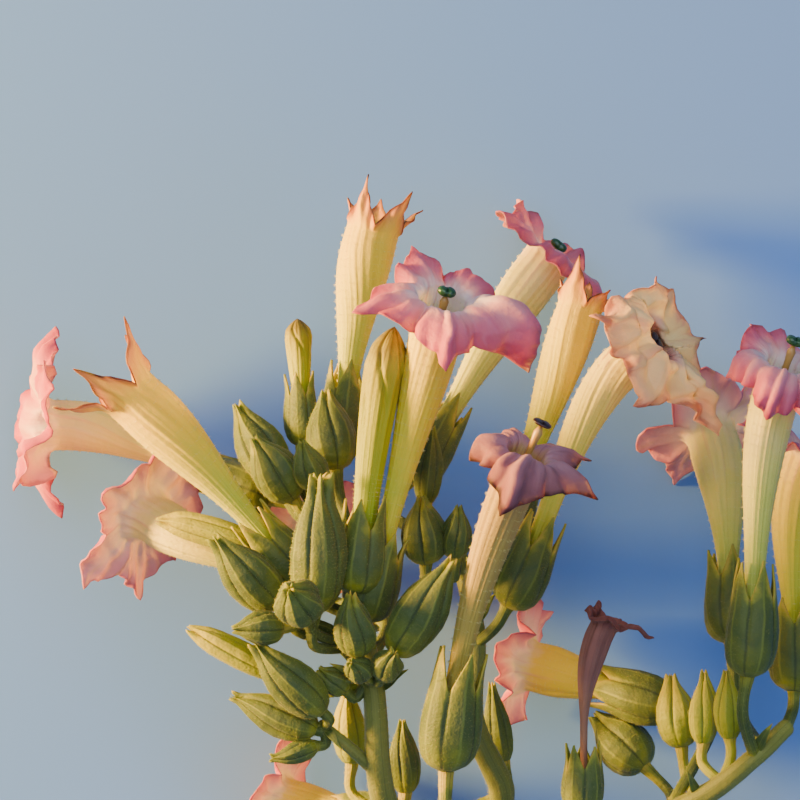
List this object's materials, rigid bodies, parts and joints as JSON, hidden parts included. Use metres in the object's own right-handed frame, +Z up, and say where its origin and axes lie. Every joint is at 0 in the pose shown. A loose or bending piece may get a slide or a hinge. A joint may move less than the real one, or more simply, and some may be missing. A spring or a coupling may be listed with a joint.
{
  "type": "cut flowering head of a tobacco plant",
  "caption": "Cut flowering head of tobacco: a branched green stem with long pink trumpet flowers in toothed green cups, and clustered buds, lying on a surface.",
  "frame": {"origin": "middle of the outline seen from above, on the surface that the head lies on", "axes": "+Y from the cut end towards the flower tips, +X to the right of that seen from above, +Z up from the surface"},
  "size_m": [0.1474, 0.145, 0.088],
  "materials": {
    "stem": "satin, finely haired",
    "calyx_green": "matte, finely haired",
    "bud_lime": "matte, finely haired",
    "petal_pink": "soft, slightly clear",
    "petal_dusky": "soft, wilting",
    "petal_cream": "soft, slightly clear",
    "petal_brown": "dry, creased"
  },
  "bodies": {
    "root": {"stem_main": "stem", "branch_front": "stem", "branch_left": "stem", "branch_back": "stem", "branch_right": "stem", "bloom_centre": "petal_pink", "bloom_far_left": "petal_pink", "bloom_lower_left": "petal_pink", "bloom_top": "petal_pink", "bloom_right": "petal_pink", "bloom_right_cluster": "petal_pink", "bloom_right_back": "petal_pink", "bloom_low_back": "petal_pink", "bloom_right_edge": "petal_pink", "bloom_low_left": "petal_pink", "bloom_under": "petal_pink", "bloom_left": "petal_cream", "bloom_top_left": "petal_cream", "bloom_top_right": "petal_cream", "bloom_front_right": "petal_dusky", "bloom_withered": "petal_brown", "bud_long": "bud_lime", "bud_upright": "bud_lime", "cup_centre": "calyx_green", "cup_far_left": "calyx_green", "cup_lower_left": "calyx_green", "cup_top": "calyx_green", "cup_right": "calyx_green", "cup_right_cluster": "calyx_green", "cup_right_back": "calyx_green", "cup_low_back": "calyx_green", "cup_right_edge": "calyx_green", "cup_low_left": "calyx_green", "cup_under": "calyx_green", "cup_left": "calyx_green", "cup_top_left": "calyx_green", "cup_top_right": "calyx_green", "cup_front_right": "calyx_green", "cup_withered": "calyx_green", "cup_long": "calyx_green", "cup_upright": "calyx_green", "bud_twin": "calyx_green", "bud_left": "calyx_green", "bud_round": "calyx_green", "bud_low_left": "calyx_green", "bud_knot": "calyx_green", "bud_right": "calyx_green", "bud_low_pair": "calyx_green", "bud_low": "calyx_green", "bud_back_left": "calyx_green", "bud_back_top": "calyx_green", "bud_middle": "calyx_green", "bud_low_middle": "calyx_green", "bud_by_branch": "calyx_green", "bud_far": "calyx_green", "bud_yellow_low": "bud_lime", "bud_yellow_up": "bud_lime", "bud_behind_stem": "bud_lime", "bud_right_low": "bud_lime", "bud_right_pair": "bud_lime"}
  },
  "joints": []
}
